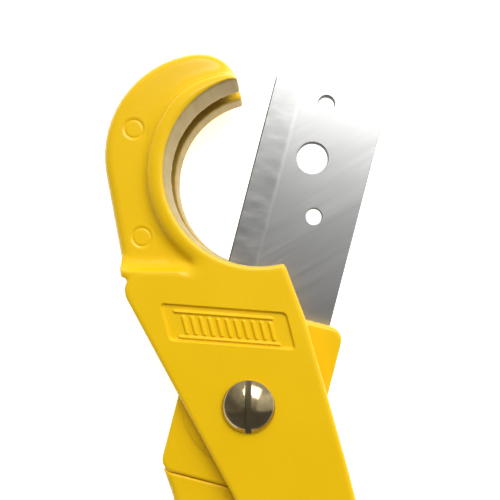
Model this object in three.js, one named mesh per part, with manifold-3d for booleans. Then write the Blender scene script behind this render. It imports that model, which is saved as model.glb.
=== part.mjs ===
// A scissor-type cutter for plastic pipe, lying flat on its rear face.
// Units are millimetres. The origin is on the pivot axis, in the plane of the rear face.
// +Z points out of the front face, +Y points from the pivot to the jaw.
import * as THREE from "three";
import { mergeVertices } from "three/addons/utils/BufferGeometryUtils.js";
import Module from "manifold-3d";

const wasm = await Module();
wasm.setup();

// ---------- driving dimensions ----------

const CLEAR = 0.3; // running gap between pieces
const CHORD_ERROR = 0.04; // how far a facet may stand off its true arc

// heights above the rear face
const REAR_CHEEK_TOP = 4.3;
const FRONT_CHEEK_BOTTOM = 19.1;
const FRONT_FACE = 23.4;
const WEB_BOTTOM = 2.9;
const WEB_TOP = 20.5;
const TANG_BOTTOM = REAR_CHEEK_TOP + 0.6;
const TANG_TOP = 10.4;
const BLADE_BOTTOM = TANG_TOP + CLEAR;
const BLADE_THICKNESS = 2;
const BLADE_TOP = BLADE_BOTTOM + BLADE_THICKNESS;
const BLADE_MIDDLE = BLADE_BOTTOM + BLADE_THICKNESS / 2;
const BLOCK_BOTTOM = BLADE_TOP + CLEAR;
const BLOCK_FACE = 18.35;
const BLOCK_PAD_FACE = 18.7;

// the jaw and the hook round it
const JAW = { x: 2.4, y: 57.2, radius: 23.3, tip: 103, root: 285 };
const HOOK_BACK = { x: -10.8, y: 61.9, radius: 26.3 };
const HOOK_TIP = { x: -12.2, y: 78.5, radius: 9.5 };
const RIM_WIDTH = 4.5;
const RIM_WIDTH_AT_TIP = 2.1;
const SLOT_WIDTH = 4.6;
const SLOT_REACH = 86.3; // from the pivot, just past the swing of the blade's tip
const SWEEP_RADIUS = 30.6; // room round the pivot for the clamp block to turn in

// the moving half, in its own frame: u across the blade, v along it
const REST_LEAN = 14.5; // degrees that the blade leans away from the jaw as shown
const CLOSED_LEAN = -7;
const BLADE = { edge: -14.9, back: 15.7, heel: -20, tip: 84.5, bevel: 7.5 };
const BLOCK = { left: -18.1, right: 19, half: 23, corner: 3.3, pad: 17.4 };
const PIVOT_HOLE = 4.25;
const SMALL_HOLE = 2.2;
const CLAMP_PLACES = { upper: [4.3, 15], lower: [0, -15] };
const DRILLED = [[0, 65, PIVOT_HOLE], [0, 80, SMALL_HOLE], [4.3, 50, SMALL_HOLE]]; // u, v and radius
const THROUGH = 30; // past the top of every piece

// the stack round the pivot
const WASHER = { inner: 4.3, outer: 7.6, seat: 8 };
const REAR_WASHER_BOTTOM = 3.5;
const REAR_SEAT_FLOOR = 3.2;
const FRONT_WASHER = { bottom: 19, top: 20 };
const FRONT_SEAT_ROOF = 20.3;
const WAVE_WASHER = { inner: 4.6, outer: 8, thickness: 0.4, middle: 17.95, wave: 0.22 };
const WAVE_SEAT = { radius: 8.4, floor: 17.2 };
const BARREL = { radius: 3.9, bore: 2.75, top: 22.6 };
const BARREL_HEAD = { radius: 7, flat: 5.4, thickness: 1.5, seat: 7.4, seatDepth: 1.8 };
const PIVOT_SCREW = { headRadius: 6.4, edgeTilt: 46, rim: 0.5, shank: 2.4, slot: 1.45, slotDepth: 2.7 };

// the clamp screws and their hexagon nuts
const CLAMP_SCREW = { shank: 1.85, head: 3.5, headBottom: 15.5, top: 18.1, seat: 3.9, seatFloor: 15.2 };
const CLAMP_NUT = { acrossFlats: 6.5, pocketAcross: 7.1, bottom: 5.2, top: 8, pocketTop: 8.3 };

// the two handles
const HANDLE_AXIS = new THREE.Vector2(26, -78).normalize();
const HANDLE_ACROSS = new THREE.Vector2(-HANDLE_AXIS.y, HANDLE_AXIS.x);
const HANDLE_END = new THREE.Vector2(51.5, -138.4);
const HANDLE_HALF = 11;
const WALL = 3.2;
const LOCK_PLACE = new THREE.Vector2(44.6, -117.8);
const LOCK_REACH = 30.9;
const LOCK_THICKNESS = 2;
const NOTCH_HALF = 2.6; // half the width of the lock hook's notch
const GRIP = { bottom: 1.4, top: 21.8, left: -15.5, right: 5, start: -66, end: -133 };
const CATCH_PLACE = [-1, -121];
const SPRING = {
  radius: 9.4,
  low: 5.4,
  high: 7.95,
  sweep: REST_LEAN + 540, // from the hole in the cheek round to the slot in the lever
  lowerLeg: 3.2,
  upperLeg: 5.5,
  wire: 0.62, // radius
};
const STOP_PLACE = [15.2, -33.4];
const STOP_RADIUS = 2;
const CATCH_RADIUS = 1.9;
const RIVET_RADIUS = 2.4;
const RIVET_HOLE = 2.7;

// marks left by the mould on the web of the hook
const CASTING_MARKS = [[-28.9, 68.2], [-26.9, 41.2]];

// ---------- outlines ----------

const radians = THREE.MathUtils.degToRad;

function facetsFor(radius, sweep) {
  const step = 2 * Math.acos(1 - Math.min(CHORD_ERROR / radius, 0.3));
  return Math.max(1, Math.ceil(Math.abs(sweep) / step));
}

// Points on an arc, both ends included. Angles are in degrees, anticlockwise from +X.
function arc(x, y, radius, from, to) {
  const sweep = radians(to - from);
  const count = facetsFor(radius, sweep);
  return Array.from({ length: count + 1 }, (_, i) => {
    const angle = radians(from) + (sweep * i) / count;
    return [x + radius * Math.cos(angle), y + radius * Math.sin(angle)];
  });
}

// A closed outline from corners [x, y, radius], each corner rounded by its radius if it has one.
function outline(corners) {
  const points = [];
  corners.forEach(([x, y, radius = 0], i) => {
    const here = new THREE.Vector2(x, y);
    if (!radius) {
      points.push(here);
      return;
    }
    const [px, py] = corners.at(i - 1);
    const [nx, ny] = corners[(i + 1) % corners.length];
    const back = new THREE.Vector2(px, py).sub(here).normalize();
    const on = new THREE.Vector2(nx, ny).sub(here).normalize();
    const half = Math.acos(back.dot(on)) / 2;
    const middle = back.clone().add(on).normalize();
    const centre = middle.clone().multiplyScalar(radius / Math.sin(half)).add(here);
    const sweep = Math.PI - 2 * half;
    const turn = Math.sign(on.cross(back)) * sweep;
    const count = facetsFor(radius, sweep);
    const start = middle.negate().angle() - turn / 2;
    for (let k = 0; k <= count; k += 1) {
      const angle = start + (turn * k) / count;
      points.push(new THREE.Vector2(Math.cos(angle), Math.sin(angle)).multiplyScalar(radius).add(centre));
    }
  });
  return new THREE.Shape(points);
}

function circle(x, y, radius) {
  return outline(arc(x, y, radius, 0, 360).slice(0, -1));
}

function rectangle(left, bottom, right, top, radius = 0) {
  const corners = [[left, bottom], [right, bottom], [right, top], [left, top]];
  return outline(corners.map(([x, y]) => [x, y, radius]));
}

// ---------- solids ----------

function solidOf(geometry) {
  const bare = geometry.clone();
  bare.deleteAttribute("normal");
  bare.deleteAttribute("uv");
  const merged = mergeVertices(bare, 1e-4);
  const mesh = new wasm.Mesh({
    numProp: 3,
    vertProperties: new Float32Array(merged.attributes.position.array),
    triVerts: new Uint32Array(merged.index.array),
  });
  return new wasm.Manifold(mesh);
}

function geometryOf(solid) {
  const mesh = solid.getMesh();
  const geometry = new THREE.BufferGeometry();
  geometry.setAttribute("position", new THREE.BufferAttribute(mesh.vertProperties, 3));
  geometry.setIndex(new THREE.BufferAttribute(mesh.triVerts, 1));
  return geometry;
}

// A shape extruded from one height to another.
function slab(shape, bottom, top) {
  const geometry = new THREE.ExtrudeGeometry(shape, { depth: top - bottom, bevelEnabled: false });
  return solidOf(geometry.translate(0, 0, bottom));
}

// The same with both outside edges rounded off by `round`, in `steps` facets.
function softSlab(shape, bottom, top, round, steps = 2) {
  const geometry = new THREE.ExtrudeGeometry(shape, {
    depth: top - bottom - 2 * round,
    bevelThickness: round,
    bevelSize: round,
    bevelOffset: -round,
    bevelSegments: steps,
  });
  return solidOf(geometry.translate(0, 0, bottom + round));
}

function rod(x, y, radius, bottom, top) {
  return slab(circle(x, y, radius), bottom, top);
}

function ring(x, y, inner, outer, bottom, top) {
  return rod(x, y, outer, bottom, top).subtract(rod(x, y, inner, bottom - 1, top + 1));
}

function hexagon(x, y, acrossFlats) {
  const radius = acrossFlats / Math.sqrt(3);
  const corners = Array.from({ length: 6 }, (_, i) => {
    const angle = (i * Math.PI) / 3;
    return [x + radius * Math.cos(angle), y + radius * Math.sin(angle)];
  });
  return outline(corners);
}

function join(...solids) {
  return solids.reduce((all, next) => all.add(next));
}

// ---------- the body: hook, two cheeks and the fixed handle, one casting ----------

function leverToBody(u, v, lean) {
  const angle = radians(lean);
  return [u * Math.cos(angle) + v * Math.sin(angle), v * Math.cos(angle) - u * Math.sin(angle)];
}

// Cheek and fixed handle in one outline: straight left edge, cranked right edge, round end.
function cheekOutline() {
  const endLeft = HANDLE_END.clone().addScaledVector(HANDLE_ACROSS, -HANDLE_HALF);
  const endRight = HANDLE_END.clone().addScaledVector(HANDLE_ACROSS, HANDLE_HALF);
  return outline([
    ...arc(JAW.x, JAW.y, JAW.radius, 240, JAW.root - 3),
    [8.5, 35.2, 1.2],
    [14.1, 20.4, 30],
    [24.4, -16, 60],
    [33, -50, 80],
    [endRight.x, endRight.y, 10],
    [endLeft.x, endLeft.y, 10],
    [11, -50, 80],
    [-33.6, 32.5, 4.5],
    [-15.8, 32.5],
  ]);
}

// The hook down to its root, where it runs in between the cheeks.
function hookOutline() {
  return outline([
    ...arc(HOOK_TIP.x, HOOK_TIP.y, HOOK_TIP.radius, 8, 92),
    ...arc(HOOK_BACK.x, HOOK_BACK.y, HOOK_BACK.radius, 96, 190),
    [-30.4, 24],
    [-25.7, 19.4],
    [14, 19.4],
    ...arc(JAW.x, JAW.y, JAW.radius, JAW.tip, JAW.root - 3).reverse(),
  ]);
}

// The hook's outside alone, with the jaw filled in, for the broad rounding of its outer edges.
function hookBlank() {
  return outline([
    ...arc(HOOK_TIP.x, HOOK_TIP.y, HOOK_TIP.radius, 8, 92),
    ...arc(HOOK_BACK.x, HOOK_BACK.y, HOOK_BACK.radius, 96, 190),
    [-28.6, 14, 4],
    [40, 14, 4],
    [40, 50, 4],
    [-2.7, 50, 4],
  ]);
}

// The raised rim that follows the jaw on the front face and thins towards the tip. Filled, it is
// the rim's outside with the jaw left in.
function rimOutline(filled = false) {
  const start = JAW.tip - 3;
  const end = 243;
  const steps = 24;
  const outside = Array.from({ length: steps + 1 }, (_, i) => {
    const angle = start + ((end - start) * i) / steps;
    const share = THREE.MathUtils.smoothstep(angle, start, 138);
    const radius = JAW.radius + THREE.MathUtils.lerp(RIM_WIDTH_AT_TIP, RIM_WIDTH, share);
    return [JAW.x + radius * Math.cos(radians(angle)), JAW.y + radius * Math.sin(radians(angle))];
  });
  const inside = filled ? [[30, 40, 3], [30, 78, 3]] : arc(JAW.x, JAW.y, JAW.radius, JAW.tip, end).reverse();
  return outline([...outside, ...inside]);
}

// The concave fillet where the web of the hook rises to the step of the front cheek.
function rootFillet() {
  const radius = 3.7;
  const centre = { y: 36.3, z: WEB_TOP + radius };
  const inMetal = { y: 31, z: 19.6 };
  const profile = outline([
    ...arc(centre.y, centre.z, radius, 193, 270),
    [centre.y, inMetal.z],
    [inMetal.y, inMetal.z],
    [inMetal.y, 23.2],
  ]);
  const geometry = new THREE.ExtrudeGeometry(profile, { depth: 18, bevelEnabled: false });
  const alongX = new THREE.Matrix4().makeBasis(
    new THREE.Vector3(0, 1, 0),
    new THREE.Vector3(0, 0, 1),
    new THREE.Vector3(1, 0, 0),
  );
  const leftEnd = -32;
  const bar = solidOf(geometry.applyMatrix4(alongX).translate(leftEnd, 0, 0));
  return bar.intersect(softSlab(hookBlank(), WEB_BOTTOM, FRONT_FACE - 0.1, 2.4, 3));
}

// Everything that the blade's edge passes through as it closes.
function bladeSlot() {
  const gap = 1;
  const [x1, y1] = leverToBody(BLADE.edge - gap, 20, CLOSED_LEAN);
  const [x2, y2] = leverToBody(BLADE.edge - gap, 100, CLOSED_LEAN);
  const band = slab(outline([[x1, y1], [60, y1], [60, y2], [x2, y2]]), 0, FRONT_FACE);
  return rod(0, 0, SLOT_REACH, BLADE_MIDDLE - SLOT_WIDTH / 2, BLADE_MIDDLE + SLOT_WIDTH / 2).intersect(band);
}

// The wall down the outer side of the fixed handle and round its end.
function handleSpine() {
  const top = -14;
  const end = HANDLE_END.clone().addScaledVector(HANDLE_AXIS, -4.5);
  const right = end.clone().addScaledVector(HANDLE_ACROSS, HANDLE_HALF - WALL);
  const left = end.clone().addScaledVector(HANDLE_ACROSS, -HANDLE_HALF - WALL);
  const inside = outline([
    [-40, 0],
    [-40, -50],
    [left.x, left.y],
    [right.x, right.y, 6],
    [33 - WALL, -50, 80],
    [24.4 - WALL, -16, 40],
    [20, 0],
  ]);
  const bottom = REAR_CHEEK_TOP - 1;
  const roof = FRONT_CHEEK_BOTTOM + 1;
  return slab(cheekOutline(), bottom, roof)
    .intersect(slab(rectangle(-60, -160, 80, top), 0, FRONT_FACE))
    .subtract(slab(inside, 0, FRONT_FACE));
}

// A short rib across the channel of the fixed handle, standing on its spine.
function handleRib(along) {
  const reach = 7;
  const thickness = 1.8;
  const foot = LOCK_PLACE.clone()
    .addScaledVector(HANDLE_AXIS, along)
    .addScaledVector(HANDLE_ACROSS, HANDLE_HALF - 1.5);
  const tip = foot.clone().addScaledVector(HANDLE_ACROSS, -reach);
  const half = HANDLE_AXIS.clone().multiplyScalar(thickness / 2);
  const shape = outline([
    [foot.x - half.x, foot.y - half.y],
    [tip.x - half.x, tip.y - half.y],
    [tip.x + half.x, tip.y + half.y],
    [foot.x + half.x, foot.y + half.y],
  ]);
  return slab(shape, REAR_CHEEK_TOP - 0.5, FRONT_CHEEK_BOTTOM + 0.5);
}

// A leaning bar of the raised pattern in the panel.
function slantedBar(x, y, width, height) {
  const lean = 1.6;
  const fall = 0.1;
  return outline([
    [x, y],
    [x + width, y - fall],
    [x + width + lean, y + height - fall],
    [x + lean, y + height],
  ]);
}

// The shallow panel above the pivot, with its two long bars and a plain row of slanted ribs.
function panelRecess() {
  const depth = 0.6;
  const floor = FRONT_FACE - depth;
  const border = outline([[-21.3, 24.7, 0.8], [-19.2, 16.1, 0.8], [11.3, 13.7, 0.8], [8.9, 22.5, 0.8]]);
  const recess = slab(border, floor, FRONT_FACE + 1);
  const bars = [
    outline([[-18.3, 22.95], [-18.2, 22.35], [6, 20.7], [5.9, 21.3]]),
    outline([[-17, 16.95], [-16.9, 16.35], [7.9, 14.55], [7.8, 15.15]]),
  ];
  const ribs = { count: 11, left: -16.6, bottom: 17.75, pitch: 2.1, fall: 0.153, width: 0.8, height: 3.6 };
  for (let i = 0; i < ribs.count; i += 1) {
    bars.push(slantedBar(ribs.left + i * ribs.pitch, ribs.bottom - i * ribs.fall, ribs.width, ribs.height));
  }
  const raised = bars.map((shape) => slab(shape, floor - 0.2, FRONT_FACE - 0.1));
  return recess.subtract(join(...raised));
}

// The web of the hook, with its outer edges rounded more broadly than the jaw's.
function hookWeb() {
  const web = softSlab(hookOutline(), WEB_BOTTOM, WEB_TOP, 1.2);
  return web.intersect(softSlab(hookBlank(), WEB_BOTTOM - 1.5, WEB_TOP, 3, 5));
}

function jawRim() {
  const bottom = WEB_BOTTOM + 4; // well inside the web
  const rim = softSlab(rimOutline(), bottom, FRONT_FACE, 0.8);
  const roundedOutside = softSlab(rimOutline(true), bottom, FRONT_FACE, 1.7, 3);
  return rim.intersect(roundedOutside).intersect(softSlab(hookBlank(), WEB_BOTTOM, FRONT_FACE, 2.4, 3));
}

function bodyCasting() {
  const cheek = cheekOutline();
  const roomTop = FRONT_CHEEK_BOTTOM;
  const solid = join(
    softSlab(cheek, 0, REAR_CHEEK_TOP, 0.9),
    softSlab(cheek, FRONT_CHEEK_BOTTOM, FRONT_FACE, 0.9),
    hookWeb(),
    jawRim(),
    rootFillet(),
    handleSpine(),
    handleRib(-56),
    handleRib(-42),
  );
  const cuts = join(
    rod(0, 0, SWEEP_RADIUS, REAR_CHEEK_TOP, roomTop),
    bladeSlot(),
    rod(0, 0, PIVOT_HOLE, -1, FRONT_FACE + 1),
    rod(0, 0, BARREL_HEAD.seat, -1, BARREL_HEAD.seatDepth),
    rod(0, 0, WASHER.seat, REAR_SEAT_FLOOR, REAR_CHEEK_TOP + 1),
    rod(0, 0, WASHER.seat, FRONT_CHEEK_BOTTOM - 1, FRONT_SEAT_ROOF),
    rod(...STOP_PLACE, STOP_RADIUS + CLEAR, -1, FRONT_FACE + 1),
    rod(LOCK_PLACE.x, LOCK_PLACE.y, RIVET_HOLE, -1, FRONT_FACE + 1),
    rod(SPRING.radius, 0, SPRING.wire + 0.33, 1.5, REAR_CHEEK_TOP + 1), // hole for the spring's lower leg
    ...CASTING_MARKS.map(([x, y]) => ring(x, y, 2.3, 2.8, WEB_TOP - 0.25, WEB_TOP + 1)),
    panelRecess(),
  );
  return solid.subtract(cuts);
}

// ---------- the moving half, in the lever's frame ----------

// The blade: a flat bar with one bevelled edge, drilled so that it can be turned end for end.
function blade() {
  const { edge, back, heel, tip, bevel } = BLADE;
  const plate = outline([[edge, heel, 1.2], [back, heel, 8], [back, tip, 8], [edge, tip, 1.2]]);
  const sides = [1, -1].map((side) => {
    const corners = [
      [edge - 0.5, 0.08],
      [edge + bevel, BLADE_THICKNESS / 2],
      [edge + bevel, 3],
      [edge - 0.5, 3],
    ].map(([u, z]) => new THREE.Vector2(u, z));
    const cut = new THREE.ExtrudeGeometry(new THREE.Shape(corners), { depth: 120, bevelEnabled: false });
    // The section's height turns from +Y to +Z (or -Z), and its length from Z to -Y (or +Y).
    cut.rotateX((side * Math.PI) / 2);
    cut.translate(0, side > 0 ? 95 : -25, BLADE_MIDDLE);
    return solidOf(cut);
  });
  const holes = [
    rod(0, 0, PIVOT_HOLE, 0, THROUGH),
    ...DRILLED.map(([u, v, radius]) => rod(u, v, radius, 0, THROUGH)),
    ...Object.values(CLAMP_PLACES).map(([u, v]) => rod(u, v, SMALL_HOLE, 0, THROUGH)),
  ];
  return slab(plate, BLADE_BOTTOM, BLADE_TOP).subtract(join(...sides, ...holes));
}

// The block that clamps the blade to the lever.
function clampBlock() {
  const { left, right, half, corner, pad } = BLOCK;
  const blank = softSlab(rectangle(left, -half, right, half, corner), BLOCK_BOTTOM - 1, BLOCK_FACE, 0.8)
    .subtract(slab(rectangle(-30, -30, 30, 30), 0, BLOCK_BOTTOM));
  const raised = rod(0, 0, pad, BLOCK_FACE - 1, BLOCK_PAD_FACE);
  const cuts = [
    rod(0, 0, PIVOT_HOLE, 0, THROUGH),
    rod(0, 0, WAVE_SEAT.radius, WAVE_SEAT.floor, THROUGH),
    ...Object.values(CLAMP_PLACES).flatMap(([u, v]) => [
      rod(u, v, SMALL_HOLE, 0, THROUGH),
      rod(u, v, CLAMP_SCREW.seat, CLAMP_SCREW.seatFloor, THROUGH),
    ]),
  ];
  return join(blank, raised).subtract(join(...cuts));
}

// The hollow grip of the lever: a channel open towards the fixed handle.
function leverGrip() {
  const { bottom, top, left, right, start, end } = GRIP;
  const shell = softSlab(
    outline([
      [left + 3.4, start, 5],
      [left, start - 16, 30],
      [left + 0.6, end, 9],
      [right - 1, end, 9],
      [right, start - 16, 30],
      [right - 0.4, start, 4],
    ]),
    bottom,
    top,
    1.8,
    3,
  );
  const channel = rectangle(left + WALL + 0.6, end + 4, right + 5, start - 6, 1);
  const room = slab(channel, bottom + WALL, top - WALL);
  const ribs = [-84, -100].map((v) => slab(rectangle(left + 2, v - 0.9, -4, v + 0.9), bottom + 1, top - 1));
  return join(shell.subtract(room), ...ribs);
}

// The lever: a thin tang under the blade, a thicker neck and the grip.
function leverCasting() {
  const { left, right, half, corner } = BLOCK;
  const tang = slab(rectangle(left + 0.5, -half, right - 0.6, half - 0.5, corner), TANG_BOTTOM, TANG_TOP);
  const neckShape = outline([
    [-20, -19.5, 2.4],
    [-12.4, -30.8, 8],
    [-11, -48, 30],
    [GRIP.left + 3.5, GRIP.start - 2],
    [GRIP.right - 0.5, GRIP.start - 2],
    [7, -40, 30],
    [9, -31, 6],
    [18, -19.5, 2.4],
  ]);
  const neckTop = 17.7;
  const besideBlock = slab(rectangle(-30, -half - 0.35, 30, 0), 0, 30);
  const neck = softSlab(neckShape, TANG_BOTTOM, neckTop, 2.1, 3).subtract(besideBlock);
  const link = slab(rectangle(-14, -26, 12, -20), TANG_BOTTOM, TANG_TOP);
  const springRoof = SPRING.high + 0.95;
  const legSlot = rectangle(-SPRING.radius - 1, 0, -SPRING.radius + 1, SPRING.upperLeg + 1.2);
  const cuts = [
    rod(0, 0, PIVOT_HOLE, 0, THROUGH),
    ring(0, 0, SPRING.radius - 1.3, SPRING.radius + 1.4, 0, springRoof),
    slab(legSlot, 0, springRoof),
    ...Object.values(CLAMP_PLACES).flatMap(([u, v]) => [
      rod(u, v, SMALL_HOLE, 0, THROUGH),
      slab(hexagon(u, v, CLAMP_NUT.pocketAcross), 0, CLAMP_NUT.pocketTop),
    ]),
    rod(...CATCH_PLACE, CATCH_RADIUS + CLEAR, 0, THROUGH),
  ];
  return join(tang, link, neck, leverGrip()).subtract(join(...cuts));
}

// ---------- fasteners and small pieces ----------

// A cap screw up to its head's top, with a hexagon socket.
function clampScrew([u, v]) {
  const { shank, head, headBottom, top } = CLAMP_SCREW;
  const plain = rod(u, v, shank, 5.6, headBottom + 0.7);
  const socket = slab(hexagon(u, v, 3), top - 1.5, top + 1);
  return join(plain, softSlab(circle(u, v, head), headBottom, top, 0.4, 1)).subtract(socket);
}

function clampNut([u, v]) {
  const { acrossFlats, bottom, top } = CLAMP_NUT;
  const hole = rod(u, v, CLAMP_SCREW.shank + CLEAR, 0, THROUGH);
  return slab(hexagon(u, v, acrossFlats), bottom, top).subtract(hole);
}

// A screw with a low spherical head and one straight slot, which runs along Y.
function pivotScrew() {
  const { headRadius, edgeTilt, rim, shank, slot, slotDepth } = PIVOT_SCREW;
  const seat = FRONT_FACE + CLEAR;
  const ballRadius = headRadius / Math.sin(radians(edgeTilt));
  const ballCentre = seat + rim - ballRadius * Math.cos(radians(edgeTilt));
  const profile = [new THREE.Vector2(0, seat), new THREE.Vector2(headRadius - 0.25, seat)];
  const steps = 7;
  for (let i = 0; i <= steps; i += 1) {
    const tilt = radians(edgeTilt * (1 - i / steps));
    profile.push(new THREE.Vector2(ballRadius * Math.sin(tilt), ballCentre + ballRadius * Math.cos(tilt)));
  }
  const head = solidOf(new THREE.LatheGeometry(profile, 40).rotateX(Math.PI / 2));
  const top = ballCentre + ballRadius;
  const cut = slab(rectangle(-slot / 2, -10, slot / 2, 10), top - slotDepth, top + 1);
  return join(head, rod(0, 0, shank, 9, seat + 0.5)).subtract(cut);
}

// The barrel on which the lever turns, with a flat two-sided head let into the rear cheek.
function pivotBarrelNut() {
  const { radius, flat, thickness } = BARREL_HEAD;
  const head = rod(0, 0, radius, 0, thickness).intersect(slab(rectangle(-flat, -8, flat, 8), -1, 3));
  const barrel = rod(0, 0, BARREL.radius, 0, BARREL.top);
  return join(head, barrel).subtract(rod(0, 0, BARREL.bore, 8, THROUGH));
}

function thrustWasher(bottom, top) {
  return ring(0, 0, WASHER.inner, WASHER.outer, bottom, top);
}

// A thin ring bent into three waves.
function waveWasher() {
  const { inner, outer, thickness, middle, wave } = WAVE_WASHER;
  const sides = 24;
  const geometry = new THREE.LatheGeometry(
    [
      new THREE.Vector2(inner, 0),
      new THREE.Vector2(outer, 0),
      new THREE.Vector2(outer, thickness),
      new THREE.Vector2(inner, thickness),
      new THREE.Vector2(inner, 0),
    ],
    sides,
  ).rotateX(Math.PI / 2);
  const places = geometry.attributes.position;
  for (let i = 0; i < places.count; i += 1) {
    const angle = Math.atan2(places.getY(i), places.getX(i));
    places.setZ(i, places.getZ(i) + middle - thickness / 2 + wave * Math.sin(3 * angle));
  }
  return solidOf(geometry);
}

// The torsion spring round the pivot, in the lever's frame. Its lower leg goes down into a hole in
// the rear cheek, and its upper leg leaves the coil straight, along a slot in the lever.
class SpringPath extends THREE.Curve {
  getPoint(t, target = new THREE.Vector3()) {
    const lowerLegEnd = 0.04;
    const upperLegStart = 0.94;
    const along = THREE.MathUtils.clamp((t - lowerLegEnd) / (upperLegStart - lowerLegEnd), 0, 1);
    const angle = radians(REST_LEAN - SPRING.sweep * along);
    const down = (SPRING.lowerLeg * Math.max(0, lowerLegEnd - t)) / lowerLegEnd;
    const out = (SPRING.upperLeg * Math.max(0, t - upperLegStart)) / (1 - upperLegStart);
    const z = THREE.MathUtils.lerp(SPRING.low, SPRING.high, along);
    return target.set(SPRING.radius * Math.cos(angle), SPRING.radius * Math.sin(angle) + out, z - down);
  }
}

function returnSpring() {
  const { wire } = SPRING;
  const section = new THREE.Shape(Array.from({ length: 6 }, (_, i) => {
    const angle = (i * Math.PI) / 3;
    return new THREE.Vector2(wire * Math.cos(angle), wire * Math.sin(angle));
  }));
  const path = new SpringPath();
  return solidOf(new THREE.ExtrudeGeometry(section, { extrudePath: path, steps: 52, bevelEnabled: false }));
}

function stopPin() {
  return softSlab(circle(...STOP_PLACE, STOP_RADIUS), 0.4, FRONT_FACE - 0.4, 0.3, 1);
}

// The lock in its own frame: x along the arm from the rivet, y towards the open side of the channel.
function lockHook() {
  const low = BLADE_MIDDLE - LOCK_THICKNESS / 2;
  const plate = outline([
    [-5, -4.4, 3.8],
    [20, -3.4, 12],
    [LOCK_REACH - 4, -5.8, 5],
    [LOCK_REACH + 6, -4.6, 3],
    [LOCK_REACH + 5.4, 4.6, 1.8],
    [LOCK_REACH - 5, 4.2, 2],
    [19, 3.4, 5],
    [16, 12.4, 2],
    [10, 12.4, 2],
    [8, 3.6, 4],
    [-5, 4.4, 3.8],
  ]);
  const notch = join(
    rod(LOCK_REACH, 0, NOTCH_HALF, 0, THROUGH),
    slab(rectangle(LOCK_REACH - NOTCH_HALF, 0, LOCK_REACH + NOTCH_HALF, 9), 0, THROUGH),
  );
  return slab(plate, low, low + LOCK_THICKNESS).subtract(notch).subtract(rod(0, 0, RIVET_HOLE, 0, THROUGH));
}

function lockRivet() {
  const head = softSlab(circle(0, 0, 4.4), FRONT_FACE + CLEAR, FRONT_FACE + 1.7, 0.6, 2);
  return join(rod(0, 0, RIVET_RADIUS, 0.4, FRONT_FACE + 1), head);
}

function lockSpacer(bottom, top) {
  return ring(0, 0, RIVET_HOLE, 4.4, bottom, top);
}

// ---------- materials ----------

const powderCoat = () => new THREE.MeshStandardMaterial({ color: "#f0c01a", roughness: 0.35, metalness: 0 });
const bladeSteel = () => new THREE.MeshStandardMaterial({ color: "#9b9a96", roughness: 0.3, metalness: 1 });
const brightSteel = () => new THREE.MeshStandardMaterial({ color: "#b9b2a4", roughness: 0.25, metalness: 1 });
const springSteel = () => new THREE.MeshStandardMaterial({ color: "#6e6c68", roughness: 0.4, metalness: 1 });

// ---------- the assembly ----------

const group = new THREE.Group();
const lever = new THREE.Group();
lever.rotation.z = -radians(REST_LEAN);
const lock = new THREE.Group();
lock.position.set(LOCK_PLACE.x, LOCK_PLACE.y, 0);
lock.rotation.z = HANDLE_AXIS.clone().negate().angle();
group.add(lever, lock);

function place(parent, name, solid, material) {
  const mesh = new THREE.Mesh(geometryOf(solid), material());
  mesh.name = name;
  parent.add(mesh);
}

place(group, "body_casting", bodyCasting(), powderCoat);
place(group, "pivot_barrel_nut", pivotBarrelNut(), brightSteel);
place(group, "pivot_screw", pivotScrew(), brightSteel);
place(group, "rear_thrust_washer", thrustWasher(REAR_WASHER_BOTTOM, REAR_CHEEK_TOP + CLEAR), brightSteel);
place(group, "front_thrust_washer", thrustWasher(FRONT_WASHER.bottom, FRONT_WASHER.top), brightSteel);
place(group, "closing_stop_pin", stopPin(), brightSteel);
place(lever, "lever_casting", leverCasting(), powderCoat);
place(lever, "blade_clamp_block", clampBlock(), powderCoat);
place(lever, "blade", blade(), bladeSteel);
place(lever, "pivot_wave_washer", waveWasher(), springSteel);
for (const [which, where] of Object.entries(CLAMP_PLACES)) {
  place(lever, `clamp_screw_${which}`, clampScrew(where), brightSteel);
  place(lever, `clamp_nut_${which}`, clampNut(where), brightSteel);
}
place(lever, "catch_pin", rod(...CATCH_PLACE, CATCH_RADIUS, GRIP.bottom + 0.6, GRIP.top - 0.6), brightSteel);
place(lever, "return_spring", returnSpring(), springSteel);
place(lock, "lock_hook", lockHook(), brightSteel);
place(lock, "lock_rivet", lockRivet(), brightSteel);
place(lock, "lock_spacer_rear", lockSpacer(REAR_CHEEK_TOP + CLEAR, BLADE_MIDDLE - 1.3), brightSteel);
place(lock, "lock_spacer_front", lockSpacer(BLADE_MIDDLE + 1.3, FRONT_CHEEK_BOTTOM - CLEAR), brightSteel);

export default group;
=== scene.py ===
"""A scissor-type pipe cutter in cast, powder-coated metal, seen from straight above.

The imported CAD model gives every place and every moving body. This script gives the castings their
cast edges, the small parts their machined ones, and each surface its material.
"""

import math

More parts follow.
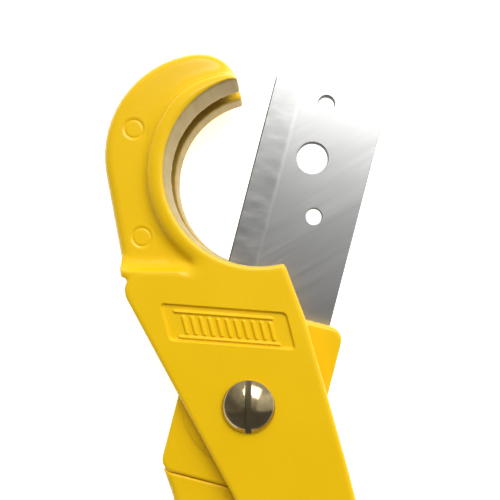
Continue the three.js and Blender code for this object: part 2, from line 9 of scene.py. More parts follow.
import bmesh
import bpy
import numpy as np
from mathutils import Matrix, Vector


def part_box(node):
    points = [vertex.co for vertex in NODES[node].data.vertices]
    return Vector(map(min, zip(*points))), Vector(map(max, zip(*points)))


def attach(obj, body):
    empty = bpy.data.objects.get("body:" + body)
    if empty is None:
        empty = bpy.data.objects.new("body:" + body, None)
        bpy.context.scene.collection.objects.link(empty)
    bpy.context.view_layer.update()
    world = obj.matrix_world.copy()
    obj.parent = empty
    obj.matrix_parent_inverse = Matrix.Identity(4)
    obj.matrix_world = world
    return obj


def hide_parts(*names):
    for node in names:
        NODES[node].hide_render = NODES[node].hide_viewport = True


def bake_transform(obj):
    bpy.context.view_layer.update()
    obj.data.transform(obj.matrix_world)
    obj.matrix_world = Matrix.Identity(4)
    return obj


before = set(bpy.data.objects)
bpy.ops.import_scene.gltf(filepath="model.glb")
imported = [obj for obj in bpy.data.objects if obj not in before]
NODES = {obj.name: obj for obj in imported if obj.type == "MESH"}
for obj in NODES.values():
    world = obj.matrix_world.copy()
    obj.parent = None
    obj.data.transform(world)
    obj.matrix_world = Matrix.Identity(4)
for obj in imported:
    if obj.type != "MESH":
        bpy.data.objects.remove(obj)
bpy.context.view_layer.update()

MM = 0.001
scene = bpy.context.scene

# ---------- dimensions, in millimetres ----------

FRONT_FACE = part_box("body_casting")[1][2] / MM
REST_LEAN = math.radians(14.5)  # how far the blade leans from +Y at rest

JAW_CENTRE = (2.4, 57.2)
JAW_RADIUS = 23.3

WEB_FACE = 20.5
# The rim round the jaw. Its angles are in degrees round the jaw's centre, from +X.
RIM_WIDTH = 4.5
RIM_WIDTH_AT_TIP = 2.1
RIM_TAPER = (100, 140)  # where it widens from the tip's width to the full one
# The broad fillet at the rim's foot, with its middle a little outward of the foot.
RIM_FILLET = {"half_width": 2.7, "outward": 0.4, "below_web": 2.0, "end": 256}

SLOT_FLOOR = 9.4
SLOT_ROOF = 14.0
SLOT_SHADE_DEPTH = 8.0  # how far in from the jaw's face the slot's walls get painted shade
SLOT_REACH = 86.3  # from the pivot to the slot's round back
SLOT_SHADE_FADE = (-7.5, -4.0)  # x, where the slot's painted shade gives way towards the hook's tip, where the slot is lit

# The panel above the pivot: a leaning rectangle, in its own skewed axes s (along) and t (across).
PANEL = {"centre": (-5.08, 19.25), "half": (15.2, 4.4), "corner": 0.9, "depth": 0.7, "raised": 0.5,
         "fall": 0.0758, "lean": 0.2586}
PANEL_BARS = [(-12.6, 11.6, 2.72), (-12.9, 11.9, -3.55)]  # both ends in s, then the middle in t
BAR_HALF_WIDTH = 0.3
PANEL_RIBS = {"count": 11, "first": -10.6, "pitch": 2.12, "half_width": 0.42,
              "low": -2.75, "high": 1.75}
CASTING_MARKS = [(-28.9, 68.2), (-26.9, 41.2)]
MARK_RADIUS = 2.35
MARK_SINK = 0.1
MARK_GROOVE = {"depth": 0.18, "half_width": 0.36}

# The blade, in its own frame: u runs across it and v along it, from the pivot.
BLADE_PLATE = {"edge": -14.9, "back": 15.7, "heel": -20.0, "tip": 84.5, "bevel": 7.5, "hone": 0.3}
BLADE_CHAMFER = 0.12
EDGE_CORNER = 1.2
BACK_CORNER = 8.0
# Shares of the full thickness at the cutting edge, where the honed strip ends and where the bevel does.
BEVEL_SHARES = (0.04, 0.34, 1.0)
WIDE_HOLE = 4.25
SMALL_HOLE = 2.2
BLADE_HOLES = [
    (0, 0, WIDE_HOLE),
    (0, 65, WIDE_HOLE),
    (0, 80, SMALL_HOLE),
    (4.3, 50, SMALL_HOLE),
    (4.3, 15, SMALL_HOLE),
    (0, -15, SMALL_HOLE),
]


# ---------- camera, light and floor ----------

def add_camera():
    """The view is close, straight down and a little off centre. This and the lights are in metres."""
    data = bpy.data.cameras.new("camera")
    data.sensor_width = 36
    data.lens = 32.33
    data.shift_x = -0.056
    data.shift_y = 0.044
    data.clip_start = 0.005
    camera = bpy.data.objects.new("camera", data)
    camera.location = (0.0071, 0.0325, 0.1324)
    scene.collection.objects.link(camera)
    scene.camera = camera


def add_area_light(name, place, target, size, watts):
    data = bpy.data.lights.new(name, "AREA")
    data.shape = "RECTANGLE"
    data.size, data.size_y = size
    data.energy = watts
    light = bpy.data.objects.new(name, data)
    light.location = place
    light.rotation_euler = (Vector(target) - Vector(place)).to_track_quat("-Z", "Y").to_euler()
    scene.collection.objects.link(light)


def add_lights():
    """A strong soft light beyond the jaw on the right, two weak ones at the sides, and a pale room."""
    centre = (0.0, 0.03, 0.01)
    add_area_light("key_light", (0.20, 0.66, 0.75), centre, (0.90, 0.60), 8.7)
    add_area_light("right_light", (0.80, 0.0, 0.50), centre, (0.8, 1.2), 1.0)
    add_area_light("left_light", (-0.80, 0.0, 0.50), centre, (0.9, 1.4), 0.25)
    add_room()
    scene.view_settings.view_transform = "Standard"


def set_range(node, low, high, to_low, to_high):
    """Sets the four limits of a Map Range node."""
    for socket, number in zip(("From Min", "From Max", "To Min", "To Max"), (low, high, to_low, to_high)):
        node.inputs[socket].default_value = number


def add_room():
    """A pale room, brighter on the side of the key light."""
    world = bpy.data.worlds.new("pale_room")
    world.use_nodes = True
    tree = world.node_tree
    background = tree.nodes["Background"]
    background.inputs["Strength"].default_value = 1.0
    direction = tree.nodes.new("ShaderNodeTexCoord")
    toward_key = tree.nodes.new("ShaderNodeVectorMath")
    toward_key.operation = "DOT_PRODUCT"
    toward_key.inputs[1].default_value = (0.32, 0.90, 0.28)
    brightness = tree.nodes.new("ShaderNodeMapRange")
    set_range(brightness, -0.05, 0.75, 0.11, 0.62)
    tree.links.new(direction.outputs["Generated"], toward_key.inputs[0])
    tree.links.new(toward_key.outputs["Value"], brightness.inputs["Value"])
    tree.links.new(brightness.outputs["Result"], background.inputs["Color"])
    scene.world = world


def add_floor():
    size = 3.0
    below_rear_face = 0.0002
    mesh = bpy.data.meshes.new("floor")
    corners = [(-size, -size, 0), (size, -size, 0), (size, size, 0), (-size, size, 0)]
    mesh.from_pydata(corners, [], [(0, 1, 2, 3)])
    floor = bpy.data.objects.new("floor", mesh)
    floor.location.z = -below_rear_face
    scene.collection.objects.link(floor)
    maker = Shader("floor_paper")
    grain = maker.noise(scale=900, detail=4)
    shade = maker.ramp(grain, [(0.3, (0.93, 0.93, 0.925)), (0.7, (0.97, 0.97, 0.965))])
    shader = maker.principled(color=shade, roughness=0.9, specular=0.15)
    shader.inputs["Emission Color"].default_value = (1, 1, 1, 1)
    shader.inputs["Emission Strength"].default_value = 0.7
    mesh.materials.append(maker.material)


# ---------- materials ----------

class Shader:
    """A material and short ways to add the nodes that this script uses."""

    def __init__(self, name):
        self.material = bpy.data.materials.new(name)
        self.material.use_nodes = True
        self.tree = self.material.node_tree
        self.tree.nodes.clear()
        self.links = self.tree.links
        place = self.tree.nodes.new("ShaderNodeTexCoord")
        self.place = place.outputs["Object"]

    def node(self, kind, **settings):
        made = self.tree.nodes.new(kind)
        for key, value in settings.items():
            setattr(made, key, value)
        return made

    def wire(self, value, socket):
        """Links an output to a socket, or sets a plain value on it."""
        if isinstance(value, bpy.types.NodeSocket):
            self.links.new(value, socket)
        elif socket.type == "RGBA":
            socket.default_value = (*value, 1)
        else:
            socket.default_value = value

    def moved(self, scale=(1, 1, 1), turn=0.0):
        """The object's own coordinates, turned about Z and then stretched."""
        place = self.place
        for setting, value in (("Rotation", (0, 0, turn)), ("Scale", scale)):
            mapping = self.node("ShaderNodeMapping")
            mapping.inputs[setting].default_value = value
            self.wire(place, mapping.inputs["Vector"])
            place = mapping.outputs["Vector"]
        return place

    def noise(self, scale, detail, roughness=0.5, place=None):
        made = self.node("ShaderNodeTexNoise")
        made.inputs["Scale"].default_value = scale
        made.inputs["Detail"].default_value = detail
        made.inputs["Roughness"].default_value = roughness
        self.wire(place or self.place, made.inputs["Vector"])
        return made.outputs["Fac"]

    def streaks(self, stretch, turn=0.0, detail=3.0, roughness=0.6):
        """Noise drawn out into lines, which run across the axis with the largest stretch."""
        place = self.moved(stretch, turn)
        return self.noise(scale=1, detail=detail, roughness=roughness, place=place)

    def ramp(self, value, stops):
        made = self.node("ShaderNodeValToRGB")
        elements = made.color_ramp.elements
        while len(elements) < len(stops):
            elements.new(0.5)
        for element, (position, colour) in zip(elements, stops):
            element.position = position
            element.color = (*colour, 1)
        self.wire(value, made.inputs["Fac"])
        return made.outputs["Color"]

    def math(self, operation, a, b=0.0, clamp=False):
        made = self.node("ShaderNodeMath", operation=operation, use_clamp=clamp)
        self.wire(a, made.inputs[0])
        self.wire(b, made.inputs[1])
        return made.outputs[0]

    def spread(self, value, low, high, to_low=0.0, to_high=1.0):
        """Maps low..high to to_low..to_high, and holds the ends beyond."""
        made = self.node("ShaderNodeMapRange", clamp=True)
        set_range(made, low, high, to_low, to_high)
        self.wire(value, made.inputs["Value"])
        return made.outputs["Result"]

    def mix(self, share, a, b):
        made = self.node("ShaderNodeMix", data_type="RGBA")
        self.wire(share, made.inputs["Factor"])
        self.wire(a, made.inputs["A"])
        self.wire(b, made.inputs["B"])
        return made.outputs["Result"]

    def axes(self, place=None):
        made = self.node("ShaderNodeSeparateXYZ")
        self.wire(place or self.place, made.inputs[0])
        return made.outputs

    def bump(self, height, strength, distance):
        made = self.node("ShaderNodeBump")
        made.inputs["Strength"].default_value = strength
        made.inputs["Distance"].default_value = distance
        self.wire(height, made.inputs["Height"])
        return made.outputs["Normal"]

    def principled(self, color, roughness, metallic=0.0, specular=0.5, normal=None):
        shader = self.node("ShaderNodeBsdfPrincipled")
        self.wire(color, shader.inputs["Base Color"])
        self.wire(roughness, shader.inputs["Roughness"])
        self.wire(metallic, shader.inputs["Metallic"])
        shader.inputs["Specular IOR Level"].default_value = specular
        if normal is not None:
            self.links.new(normal, shader.inputs["Normal"])
        output = self.node("ShaderNodeOutputMaterial")
        self.links.new(shader.outputs[0], output.inputs["Surface"])
        return shader

    def distance_from_axis(self, x, y):
        """Distance in metres from an upright axis at x, y in millimetres."""
        place = self.axes()
        dx = self.math("SUBTRACT", place["X"], x * MM)
        dy = self.math("SUBTRACT", place["Y"], y * MM)
        squares = self.math("ADD", self.math("MULTIPLY", dx, dx), self.math("MULTIPLY", dy, dy))
        return self.math("SQRT", squares)


def powder_coat(name, with_jaw=False):
    """Glossy yellow powder coat over a casting: faint orange peel, uneven film; with the jaw, painted shade
    in the blade's slot and a duller tan on the jaw's round inner face.
    """
    maker = Shader(name)
    film = maker.noise(scale=60, detail=3)
    paint = maker.ramp(film, [(0.3, (0.91, 0.555, 0.003)), (0.7, (0.94, 0.58, 0.005))])
    speckle = maker.noise(scale=1500, detail=2)
    paint = maker.mix(maker.spread(speckle, 0.62, 0.74, 0, 0.05), paint, (0.80, 0.44, 0.003))
    roughness = maker.spread(maker.noise(scale=700, detail=3), 0.3, 0.7, 0.22, 0.28)
    peel = maker.noise(scale=550, detail=2, roughness=0.45)
    normal = maker.bump(peel, strength=0.05, distance=0.1 * MM)
    if with_jaw:
        # painted shade: the paint in the blade's deep slot darkened to a dull olive
        paint = maker.mix(slot_painted_shade(maker), paint, (0.36, 0.24, 0.04))
        # a duller, grained tan on the jaw's round inner face, and a rougher finish there
        jaw_grain = maker.noise(scale=420, detail=4, place=maker.moved(scale=(1, 1, 0.25)))
        jaw_tan = maker.ramp(jaw_grain, [(0.3, (0.46, 0.342, 0.12)), (0.7, (0.56, 0.425, 0.165))])
        jaw_face_share = on_jaw_face(maker)
        paint = maker.mix(jaw_face_share, paint, jaw_tan)
        roughness = maker.math("ADD", roughness, maker.math("MULTIPLY", jaw_face_share, 0.22), clamp=True)
    maker.principled(color=paint, roughness=roughness, specular=0.33, normal=normal)
    return maker.material


def on_jaw_face(maker):
    """1 on the jaw's round inner face, 0 beyond it."""
    from_jaw = maker.distance_from_axis(*JAW_CENTRE)
    return maker.spread(from_jaw, (JAW_RADIUS + 0.08) * MM, (JAW_RADIUS + 0.3) * MM, 1, 0)


def slot_painted_shade(maker):
    """Where the slot is painted in shade: 1 on the walls of the blade's slot in the hook, fading to 0.15
    near the hook's tip.
    """
    place = maker.axes()
    from_jaw = maker.distance_from_axis(*JAW_CENTRE)
    from_pivot = maker.distance_from_axis(0, 0)
    share = maker.spread(place["X"], SLOT_SHADE_FADE[0] * MM, SLOT_SHADE_FADE[1] * MM, 1, 0.15)
    starts = [(place["Z"], SLOT_FLOOR - 0.25, 0.15), (from_jaw, JAW_RADIUS + 0.05, 0.25)]
    ends = [
        (place["Z"], SLOT_ROOF + 0.1, 0.15),
        (from_jaw, JAW_RADIUS + SLOT_SHADE_DEPTH, 0.4),
        (from_pivot, SLOT_REACH + 0.1, 0.2),
    ]
    for value, start, width in starts:
        share = maker.math("MULTIPLY", share, maker.spread(value, start * MM, (start + width) * MM))
    for value, end, width in ends:
        share = maker.math("MULTIPLY", share, maker.spread(value, end * MM, (end + width) * MM, 1, 0))
    return share


def ground_steel(name):
    """The blade: soft grinding streaks that rise to the right, a smooth honed bevel, faint smears, a
    painted highlight along the bevel's line, and painted shade on its sides and its cutting edge.
    """
    maker = Shader(name)
    across = maker.axes(maker.moved(turn=REST_LEAN))["X"]
    edge = BLADE_PLATE["edge"]
    bevel_line = edge + BLADE_PLATE["bevel"]
    flat_side = maker.spread(across, (bevel_line - 0.15) * MM, (bevel_line + 0.1) * MM)
    slant = -math.radians(30)
    broad = maker.streaks((14, 420, 14), slant)
    fine = maker.streaks((90, 3000, 90), slant)
    hone = maker.streaks((160, 420, 160), REST_LEAN, roughness=0.5)
    cloud = maker.noise(scale=38, detail=2, roughness=0.5)
    patchy = maker.mix(maker.spread(cloud, 0.38, 0.62), (0.5, 0.5, 0.5), broad)
    lines = maker.mix(flat_side, hone, maker.mix(0.3, patchy, fine))
    greys = [(0.30, (0.40, 0.398, 0.39)), (0.5, (0.435, 0.433, 0.425)), (0.70, (0.50, 0.498, 0.49))]
    shade = maker.ramp(lines, greys)
    shade = maker.mix(maker.spread(cloud, 0.35, 0.7, 0, 0.2), shade, (0.50, 0.50, 0.49))
    # painted highlight: a soft light band along the bevel's line
    from_line = maker.math("ABSOLUTE", maker.math("SUBTRACT", across, bevel_line * MM))
    painted_glint = maker.spread(from_line, 0.1 * MM, 0.8 * MM, 0.4, 0)
    shade = maker.mix(painted_glint, shade, (0.60, 0.60, 0.59))
    # painted shade: faces that turn away from straight up, the blade's sides, made near black
    up = maker.axes(maker.node("ShaderNodeNewGeometry").outputs["Normal"])["Z"]
    painted_side_shade = maker.spread(maker.math("ABSOLUTE", up), 0.35, 0.8, 1, 0)
    shade = maker.mix(painted_side_shade, shade, (0.10, 0.098, 0.092))
    # painted shade: the honed strip along the cutting edge made near black
    edge_painted_shade = maker.spread(across, (edge + 0.15) * MM, (edge + 0.4) * MM, 1, 0)
    shade = maker.mix(edge_painted_shade, shade, (0.12, 0.118, 0.11))
    ground = maker.spread(lines, 0.3, 0.7, 0.30, 0.37)
    roughness = maker.math("ADD", ground, maker.math("MULTIPLY", painted_side_shade, 0.2))
    normal = maker.bump(lines, strength=0.08, distance=0.03 * MM)
    maker.principled(color=shade, roughness=roughness, metallic=1.0, normal=normal)
    return maker.material


def nickel(name):
    """Polished nickel plate, warm in tone and partly tinted with a painted reflection of the yellow
    casting, with faint turning marks and handling scratches.
    """
    maker = Shader(name)
    # nickel's own warm tone, made more yellow as a painted reflection of the yellow casting round the head
    tint = (0.54, 0.43, 0.24)
    radius = maker.distance_from_axis(0, 0)
    turned = maker.node("ShaderNodeTexNoise", noise_dimensions="1D")
    turned.inputs["Scale"].default_value = 5200
    turned.inputs["Detail"].default_value = 4
    maker.wire(radius, turned.inputs["W"])
    scratches = maker.streaks((300, 5200, 300), 0.9, detail=6, roughness=0.8)
    dull = tuple(channel * 0.8 for channel in tint)
    shade = maker.ramp(maker.noise(scale=520, detail=4), [(0.35, dull), (0.65, tint)])
    roughness = maker.spread(scratches, 0.35, 0.75, 0.12, 0.21)
    height = maker.mix(0.5, turned.outputs["Fac"], scratches)
    normal = maker.bump(height, strength=0.08, distance=0.03 * MM)
    maker.principled(color=shade, roughness=roughness, metallic=1.0, normal=normal)
    return maker.material


def plain_steel(name, tint, rough=(0.28, 0.42), grain=(2600, 2600, 500)):
    """Turned, stamped or plated steel, with a fine grain and a little staining."""
    maker = Shader(name)
    lines = maker.streaks(grain, detail=5, roughness=0.7)
    stain = maker.noise(scale=240, detail=4)
    dark = tuple(channel * 0.7 for channel in tint)
    shade = maker.mix(maker.spread(stain, 0.4, 0.72, 0, 0.5), tint, dark)
    roughness = maker.spread(lines, 0.3, 0.7, *rough)
    normal = maker.bump(lines, strength=0.15, distance=0.04 * MM)
    maker.principled(color=shade, roughness=roughness, metallic=1.0, normal=normal)
    return maker.material


# ---------- mesh work ----------

def copy_of(node, name):
    """A copy of a CAD node's mesh as a new piece, its doubled vertices joined."""
    mesh = NODES[node].data.copy()
    mesh.name = name
    mesh.materials.clear()
    work = bmesh.new()
    work.from_mesh(mesh)
    bmesh.ops.remove_doubles(work, verts=work.verts, dist=1e-6)
    work.to_mesh(mesh)
    work.free()
    piece = bpy.data.objects.new(name, mesh)
    scene.collection.objects.link(piece)
    return piece


def apply_modifiers(piece):
    """Bakes the piece's modifiers into its mesh."""
    graph = bpy.context.evaluated_depsgraph_get()
    made = bpy.data.meshes.new_from_object(piece.evaluated_get(graph))
    piece.modifiers.clear()
    old = piece.data
    piece.data = made
    made.name = old.name
    bpy.data.meshes.remove(old)


def shade_smooth(piece, angle=None):
    piece.data.shade_smooth()
    if angle is not None:
        piece.data.set_sharp_from_angle(angle=math.radians(angle))


def set_material(piece, material):
    piece.data.materials.clear()
    piece.data.materials.append(material)


def finish_piece(piece, node, body, material):
    set_material(piece, material)
    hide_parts(node)
    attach(piece, body)


def cast(node, name, voxel, rounds):
    """A casting with soft cast edges: the CAD solid in even small faces, smoothed."""
    piece = copy_of(node, name)
    remesh = piece.modifiers.new("remesh", "REMESH")
    remesh.mode = "VOXEL"
    remesh.voxel_size = voxel * MM
    soften = piece.modifiers.new("soften", "SMOOTH")
    soften.factor = 0.5
    soften.iterations = rounds
    apply_modifiers(piece)
    return piece


def even_shading(piece):
    """Shades each point mostly by its largest faces, so that the flats stay flat up to their edges."""
    shade_smooth(piece)
    weigh = piece.modifiers.new("weigh", "WEIGHTED_NORMAL")
    weigh.mode = "FACE_AREA"
    weigh.keep_sharp = True
    apply_modifiers(piece)


def thin_out(piece, keep):
    """Fewer faces where the surface is flat."""
    thin = piece.modifiers.new("thin", "DECIMATE")
    thin.ratio = keep
    apply_modifiers(piece)


def machined(node, name, width):
    """A small part with its sharp edges broken."""
    sharp = 30
    piece = copy_of(node, name)
    bevel = piece.modifiers.new("edges", "BEVEL")
    bevel.width = width * MM
    bevel.segments = 2
    bevel.limit_method = "ANGLE"
    bevel.angle_limit = math.radians(sharp)
    bevel.use_clamp_overlap = True
    apply_modifiers(piece)
    shade_smooth(piece, sharp)
    return piece


def places_of(mesh):
    """The mesh's points as an array, in millimetres."""
    flat = np.empty(len(mesh.vertices) * 3, np.float32)
    mesh.vertices.foreach_get("co", flat)
    return flat.reshape(-1, 3).astype(np.float64) / MM


def edges_of(mesh):
    flat = np.empty(len(mesh.edges) * 2, np.int32)
    mesh.edges.foreach_get("vertices", flat)
    return flat.reshape(-1, 2)


def set_places(mesh, places):
    mesh.vertices.foreach_set("co", (places * MM).astype(np.float32).ravel())
    mesh.update()


def soften_where(piece, weight_at, rounds):
    """Evens out the surface where weight_at(places) is above 0, as a hand-made fillet does."""
    step = 0.6  # how far towards its neighbours' middle a point moves in one round
    places = places_of(piece.data)
    edges = edges_of(piece.data)
    a, b = edges[:, 0], edges[:, 1]
    count = len(places)
    near = np.maximum(np.bincount(a, minlength=count) + np.bincount(b, minlength=count), 1)
    weight = weight_at(places)[:, None] * step
    for _ in range(rounds):
        total = np.empty_like(places)
        for axis in range(3):
            column = places[:, axis]
            total[:, axis] = (np.bincount(a, column[b], count) + np.bincount(b, column[a], count)) / near
        places += (total - places) * weight
    set_places(piece.data, places)


def refine(piece, inside, longest):
    """Splits the edges where inside(places) is true until none there is longer than longest."""
    most_rounds = 8
    for _ in range(most_rounds):
        places = places_of(piece.data)
        edges = edges_of(piece.data)
        ends = places[edges]
        long = np.linalg.norm(ends[:, 0] - ends[:, 1], axis=1) > longest
        chosen = np.flatnonzero(long & inside(ends.mean(axis=1)))
        if not len(chosen):
            return
        work = bmesh.new()
        work.from_mesh(piece.data)
        work.edges.ensure_lookup_table()
        bmesh.ops.subdivide_edges(work, edges=[work.edges[i] for i in chosen], cuts=1)
        bmesh.ops.triangulate(work, faces=[f for f in work.faces if len(f.verts) > 3])
        work.to_mesh(piece.data)
        work.free()


def carve(piece, inside, face, depth_at):
    """Sets the height of each point inside to face less depth_at(x, y), all in millimetres."""
    places = places_of(piece.data)
    chosen = inside(places)
    places[chosen, 2] = face - depth_at(places[chosen, 0], places[chosen, 1])
    set_places(piece.data, places)


def flatten(piece, heights):
    """Puts the points that are nearly at one of the flat faces' heights exactly there."""
    nearly = 0.02
    places = places_of(piece.data)
    for height in heights:
        places[np.abs(places[:, 2] - height) < nearly, 2] = height
    set_places(piece.data, places)


def soft_step(value, width):
    """0 well below zero, 1 well above it, smooth over width."""
    share = np.clip(value / width + 0.5, 0, 1)
    return share * share * (3 - 2 * share)


def panel_axes(x, y):
    """The panel's own s and t at x, y."""
    dx = x - PANEL["centre"][0]
    dy = y - PANEL["centre"][1]
    scale = 1 / (1 - PANEL["fall"] * PANEL["lean"])
    return (dx + PANEL["lean"] * dy) * scale, (dy + PANEL["fall"] * dx) * scale


def rounded_box(s, t, half_s, half_t, corner=0.0):
    """Distance outside a rectangle with round corners, negative inside."""
    out_s = np.abs(s) - half_s + corner
    out_t = np.abs(t) - half_t + corner
    beyond = np.hypot(np.maximum(out_s, 0), np.maximum(out_t, 0))
    return beyond + np.minimum(np.maximum(out_s, out_t), 0) - corner


def panel_depth(x, y):
    """The recess, less its two long bars and its row of plain slanted ribs."""
    s, t = panel_axes(x, y)
    inside = -rounded_box(s, t, *PANEL["half"], PANEL["corner"])
    depth = PANEL["depth"] * soft_step(inside, width=0.5)
    raised = np.zeros_like(depth)
    for left, right, middle in PANEL_BARS:
        along = s - (left + right) / 2
        out = rounded_box(along, t - middle, (right - left) / 2, BAR_HALF_WIDTH, corner=0.25)
        raised = np.maximum(raised, PANEL["raised"] * soft_step(-out, width=0.45))
    ribs = PANEL_RIBS
    middle = (ribs["low"] + ribs["high"]) / 2
    half = (ribs["high"] - ribs["low"]) / 2
    for i in range(ribs["count"]):
        along = s - ribs["first"] - i * ribs["pitch"]
        out = rounded_box(along, t - middle, ribs["half_width"], half, corner=0.4)
        raised = np.maximum(raised, PANEL["raised"] * soft_step(-out, width=0.5))
    return depth - raised


def from_marks(x, y):
    """Distance from the middle of the nearest casting mark."""
    return np.min([np.hypot(x - cx, y - cy) for cx, cy in CASTING_MARKS], axis=0)


def mark_depth(x, y):
    """A shallow round sink with a slight groove round it."""
    away = from_marks(x, y)
    groove = np.exp(-(((away - MARK_RADIUS) / MARK_GROOVE["half_width"]) ** 2))
    return MARK_SINK * soft_step(MARK_RADIUS - away, width=0.5) + MARK_GROOVE["depth"] * groove


# ---------- the pieces ----------

def in_panel(places, margin=1.0):
    """The points in the panel or within a margin of it, and not much below the front face."""
    below = 1.3
    x, y, z = places.T
    return (z > FRONT_FACE - below) & (rounded_box(*panel_axes(x, y), *PANEL["half"]) < margin)


def in_marks(places, margin=1.2):
    """The points in a casting mark or within a margin of it, and not much below the web's face."""
    below = 1.0
    x, y, z = places.T
    return (z > WEB_FACE - below) & (from_marks(x, y) < MARK_RADIUS + margin)


def around_reliefs(places):
    """The panel and the marks with a wider margin, where no large face may reach in."""
    return in_panel(places, margin=3) | in_marks(places, margin=3)


def at_rim_foot(places):
    """1 where the rim's foot has its broad fillet."""
    x, y, z = places.T
    away = np.hypot(x - JAW_CENTRE[0], y - JAW_CENTRE[1]) - JAW_RADIUS
    turn = np.degrees(np.arctan2(y - JAW_CENTRE[1], x - JAW_CENTRE[0])) % 360
    foot = np.interp(turn, RIM_TAPER, (RIM_WIDTH_AT_TIP, RIM_WIDTH))
    from_middle = np.abs(away - foot - RIM_FILLET["outward"])
    near_foot = soft_step(RIM_FILLET["half_width"] - from_middle, width=1.6)
    off_jaw_face = soft_step(away - 0.7, width=0.6)
    in_front = soft_step(z - (WEB_FACE - RIM_FILLET["below_web"]), width=1)
    before_end = soft_step(RIM_FILLET["end"] - turn, width=10)
    return near_foot * off_jaw_face * in_front * before_end


def body_shell(coat):
    piece = cast("body_casting", "body_shell", voxel=0.4, rounds=7)
    soften_where(piece, at_rim_foot, rounds=55)
    flatten(piece, heights=(0, WEB_FACE, FRONT_FACE))
    thin_out(piece, keep=0.2)
    fine = 0.18
    refine(piece, around_reliefs, longest=0.9)
    refine(piece, in_panel, fine)
    carve(piece, in_panel, FRONT_FACE, panel_depth)
    refine(piece, in_marks, fine)
    carve(piece, in_marks, WEB_FACE, mark_depth)
    even_shading(piece)
    finish_piece(piece, "body_casting", "body", coat)


def lever_shell(coat):
    piece = cast("lever_casting", "lever_shell", voxel=0.36, rounds=4)
    thin_out(piece, keep=0.3)
    even_shading(piece)
    finish_piece(piece, "lever_casting", "lever", coat)


def clamp_block_shell(coat):
    piece = cast("blade_clamp_block", "clamp_block_shell", voxel=0.3, rounds=4)
    thin_out(piece, keep=0.35)
    even_shading(piece)
    finish_piece(piece, "blade_clamp_block", "lever", coat)


def corner_arc(corner, before, after, radius):
    """The points of a round corner between two sides that meet at a right angle."""
    steps = 14
    to_before = (Vector(before) - Vector(corner)).normalized()
    to_after = (Vector(after) - Vector(corner)).normalized()
    centre = Vector(corner) + (to_before + to_after) * radius
    points = []
    for i in range(steps + 1):
        angle = (math.pi / 2) * i / steps
        along_before = to_before * radius * math.sin(angle)
        along_after = to_after * radius * math.cos(angle)
        points.append(centre - along_after - along_before)
    return points


def circle(x, y, radius):
    steps = 56
    turns = [2 * math.pi * i / steps for i in range(steps)]
    return [(x + radius * math.cos(turn), y + radius * math.sin(turn)) for turn in turns]


def closed_line(curve, points):
    line = curve.splines.new("POLY")
    line.points.add(len(points) - 1)
    for point, place in zip(line.points, points):
        point.co = (place[0], place[1], 0, 1)
    line.use_cyclic_u = True


def blade_blank(thickness):
    """The drilled plate with broken edges, in millimetres in its own frame, half above and half below 0."""
    size = BLADE_PLATE
    corners = [
        ((size["edge"], size["heel"]), EDGE_CORNER),
        ((size["back"], size["heel"]), BACK_CORNER),
        ((size["back"], size["tip"]), BACK_CORNER),
        ((size["edge"], size["tip"]), EDGE_CORNER),
    ]
    outline = []
    for i, (corner, radius) in enumerate(corners):
        outline += corner_arc(corner, corners[i - 1][0], corners[(i + 1) % 4][0], radius)
    curve = bpy.data.curves.new("blade_outline", "CURVE")
    curve.dimensions = "2D"
    curve.fill_mode = "BOTH"
    closed_line(curve, outline)
    for hole in BLADE_HOLES:
        closed_line(curve, circle(*hole))
    curve.extrude = thickness / 2 - BLADE_CHAMFER
    curve.bevel_depth = BLADE_CHAMFER
    curve.bevel_resolution = 1
    curve.offset = -BLADE_CHAMFER
    shape = bpy.data.objects.new("blade_outline", curve)
    scene.collection.objects.link(shape)
    graph = bpy.context.evaluated_depsgraph_get()
    mesh = bpy.data.meshes.new_from_object(shape.evaluated_get(graph))
    bpy.data.objects.remove(shape)
    return mesh


def grind_bevel(work):
    """Thins the plate towards its cutting edge: one long bevel, and a steeper honed strip at the edge."""
    size = BLADE_PLATE
    widths = (0, size["hone"], size["bevel"])
    bevel_line = size["edge"] + size["bevel"]
    for place in (bevel_line, size["edge"] + size["hone"]):
        bmesh.ops.bisect_plane(work, geom=work.verts[:] + work.edges[:] + work.faces[:],
                               plane_co=(place, 0, 0), plane_no=(1, 0, 0))
    for vertex in work.verts:
        if vertex.co.x < bevel_line:
            from_edge = max(0.0, vertex.co.x - size["edge"])
            vertex.co.z *= np.interp(from_edge, widths, BEVEL_SHARES)


def blade_plate(steel):
    """The blade, ground in its own frame and then leant over to where the CAD has it at rest."""
    low, high = (corner[2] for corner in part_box("blade"))
    mesh = blade_blank((high - low) / MM)
    work = bmesh.new()
    work.from_mesh(mesh)
    bmesh.ops.remove_doubles(work, verts=work.verts, dist=1e-4)
    grind_bevel(work)
    for vertex in work.verts:
        u, v, z = vertex.co
        x = u * math.cos(REST_LEAN) + v * math.sin(REST_LEAN)
        y = v * math.cos(REST_LEAN) - u * math.sin(REST_LEAN)
        vertex.co = (x * MM, y * MM, z * MM + (low + high) / 2)
    bmesh.ops.recalc_face_normals(work, faces=work.faces[:])
    work.to_mesh(mesh)
    work.free()
    mesh.name = "blade_plate"
    piece = bpy.data.objects.new("blade_plate", mesh)
    scene.collection.objects.link(piece)
    shade_smooth(piece, 5)
    finish_piece(piece, "blade", "lever", steel)


def screw_head(metal):
    piece = machined("pivot_screw", "pivot_screw_head", 0.06)
    finish_piece(piece, "pivot_screw", "body", metal)


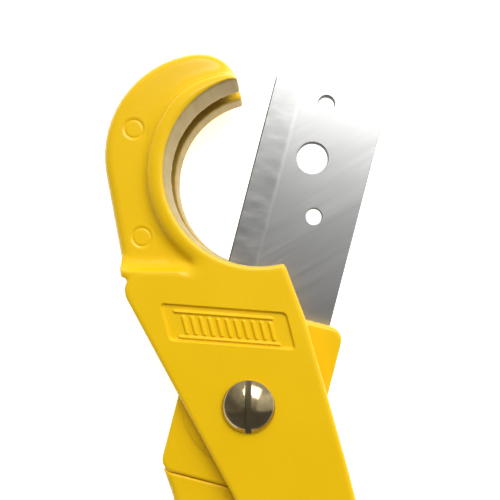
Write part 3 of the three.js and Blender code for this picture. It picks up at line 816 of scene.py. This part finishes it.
# Each small part's node, body and slot, and the width of its broken edges.
SMALL_PARTS = [
    ("pivot_barrel_nut", "body", "pivot_metal", 0.2),
    ("rear_thrust_washer", "body", "washer_steel", 0.12),
    ("front_thrust_washer", "body", "washer_steel", 0.12),
    ("closing_stop_pin", "body", "pin_steel", 0.1),
    ("clamp_screw_upper", "lever", "fastener_steel", 0.1),
    ("clamp_screw_lower", "lever", "fastener_steel", 0.1),
    ("clamp_nut_upper", "lever", "fastener_steel", 0.15),
    ("clamp_nut_lower", "lever", "fastener_steel", 0.15),
    ("catch_pin", "lever", "pin_steel", 0.2),
    ("pivot_wave_washer", "lever", "spring_steel", 0.05),
    ("lock_hook", "lock", "lock_steel", 0.2),
    ("lock_rivet", "lock", "pivot_metal", 0.1),
    ("lock_spacer_rear", "lock", "washer_steel", 0.15),
    ("lock_spacer_front", "lock", "washer_steel", 0.15),
]


def small_parts(metals):
    for node, body, slot_name, width in SMALL_PARTS:
        piece = machined(node, node + "_piece", width)
        finish_piece(piece, node, body, metals[slot_name])


def return_spring(metal):
    """The return spring, with its sharp edges broken. It is attached to no body."""
    piece = machined("return_spring", "return_spring_piece", 0.02)
    set_material(piece, metal)
    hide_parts("return_spring")
    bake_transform(piece)


def build():
    add_camera()
    add_lights()
    add_floor()
    coat = powder_coat("powder_coat_body", with_jaw=True)
    lever_coat = powder_coat("powder_coat_lever")
    metals = {
        "pivot_metal": nickel("nickel_plate"),
        "washer_steel": plain_steel("washer_steel", (0.52, 0.52, 0.50)),
        "pin_steel": plain_steel("pin_steel", (0.52, 0.52, 0.51), grain=(600, 600, 5000)),
        "fastener_steel": plain_steel("fastener_steel", (0.46, 0.46, 0.45), rough=(0.3, 0.48)),
        "lock_steel": plain_steel("lock_steel", (0.55, 0.55, 0.53), rough=(0.26, 0.40)),
        "spring_steel": plain_steel("spring_steel", (0.24, 0.235, 0.23), rough=(0.3, 0.5)),
    }
    body_shell(coat)
    lever_shell(lever_coat)
    clamp_block_shell(lever_coat)
    blade_plate(ground_steel("ground_blade_steel"))
    screw_head(metals["pivot_metal"])
    return_spring(metals["spring_steel"])
    small_parts(metals)


build()
